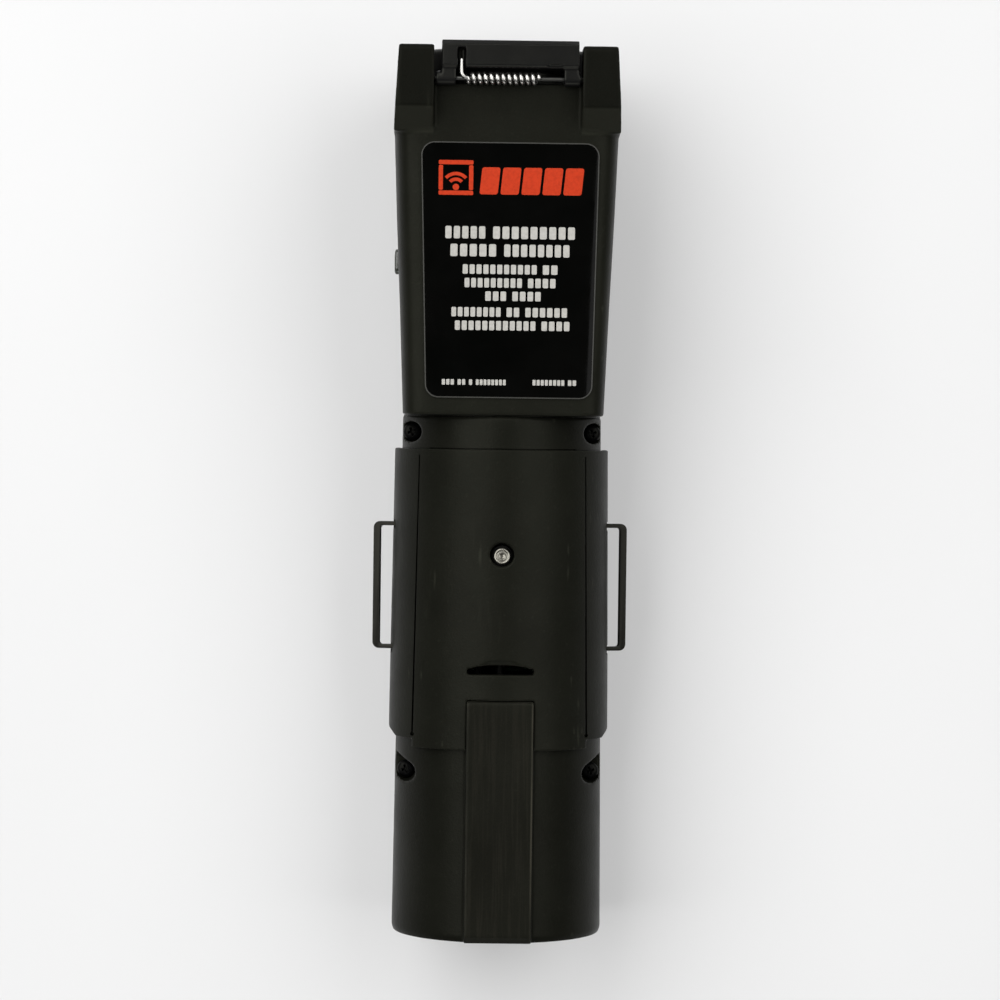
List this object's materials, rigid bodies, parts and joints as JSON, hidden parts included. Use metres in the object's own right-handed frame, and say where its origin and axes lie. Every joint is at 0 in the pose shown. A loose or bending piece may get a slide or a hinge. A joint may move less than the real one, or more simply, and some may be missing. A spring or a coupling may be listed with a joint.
{
  "type": "brake controller unit",
  "caption": "In-line trailer brake controller with a round keyed plug nose, a sprung-lid socket, a wrap-round strap saddle and side strap bails.",
  "frame": {"origin": "centre of the bounding box at the height of the flat front panel that the unit lies on", "axes": "+Y along the unit from plug nose to lid, +Z out of the labelled rear face, +X to the right with the rear face towards the viewer and the lid up"},
  "size_m": [0.0584, 0.2014, 0.0586],
  "materials": {
    "textured_plastic": "fine textured warm black moulding",
    "smooth_plastic": "smooth black moulding, slightly glossy",
    "rubber": "black rubber",
    "wire_jacket": "soft insulation",
    "bright_steel": "bright nickel-plated steel",
    "black_steel": "black-coated steel",
    "brass": "plain brass contact",
    "label_gloss": "glossy black printed film",
    "light_lens": "smoked translucent lens",
    "board": "green solder mask",
    "chip_black": "moulded package",
    "aluminium": "milled aluminium"
  },
  "bodies": {
    "unit": {"socket_housing": "textured_plastic", "socket_insert": "smooth_plastic", "socket_blade_1": "brass", "socket_blade_2": "brass", "socket_blade_3": "brass", "socket_blade_4": "brass", "socket_blade_5": "brass", "socket_blade_6": "brass", "socket_pin": "brass", "hinge_pin": "bright_steel", "label": "label_gloss", "status_light": "light_lens", "rear_shell": "textured_plastic", "front_shell": "textured_plastic", "body_seal": "rubber", "case_screw_1": "black_steel", "case_screw_2": "black_steel", "case_screw_3": "black_steel", "case_screw_4": "black_steel", "strap_saddle": "textured_plastic", "saddle_screw": "bright_steel", "saddle_nut": "brass", "plug_insert": "smooth_plastic", "plug_terminal_1": "brass", "plug_terminal_2": "brass", "plug_terminal_3": "brass", "plug_terminal_4": "brass", "plug_terminal_5": "brass", "plug_terminal_6": "brass", "plug_terminal_7": "brass", "circuit_board": "board", "heat_sink": "aluminium", "power_transistor_1": "chip_black", "power_transistor_2": "chip_black", "capacitor_1": "chip_black", "capacitor_2": "chip_black", "control_chip": "chip_black", "radio_module": "aluminium", "wire_header_1": "smooth_plastic", "wire_header_2": "smooth_plastic", "through_wire_1": "wire_jacket", "through_wire_2": "wire_jacket", "through_wire_3": "wire_jacket", "through_wire_4": "wire_jacket", "through_wire_5": "wire_jacket", "through_wire_6": "wire_jacket", "brake_wire": "wire_jacket"},
    "lid": {"lid": "smooth_plastic", "lid_gasket": "rubber", "lid_spring": "bright_steel"},
    "bail_left": {"bail_left": "black_steel"},
    "bail_right": {"bail_right": "black_steel"}
  },
  "joints": [
    {"name": "lid_hinge", "type": "hinge", "parent": "unit", "child": "lid", "pos_m": [0, 0.0923, 0.0559], "axis": [1, 0, 0], "range_deg": [0, 105], "stiffness_Nm_per_rad": 0.02, "springref_deg": -45.84, "deforming": ["lid_spring"]},
    {"name": "bail_left_hinge", "type": "hinge", "parent": "unit", "child": "bail_left", "pos_m": [-0.0229, -0.0216, 0.0258], "axis": [0, 1, 0], "range_deg": [0, 75]},
    {"name": "bail_right_hinge", "type": "hinge", "parent": "unit", "child": "bail_right", "pos_m": [0.0229, -0.0216, 0.0258], "axis": [0, -1, 0], "range_deg": [0, 75]}
  ]
}
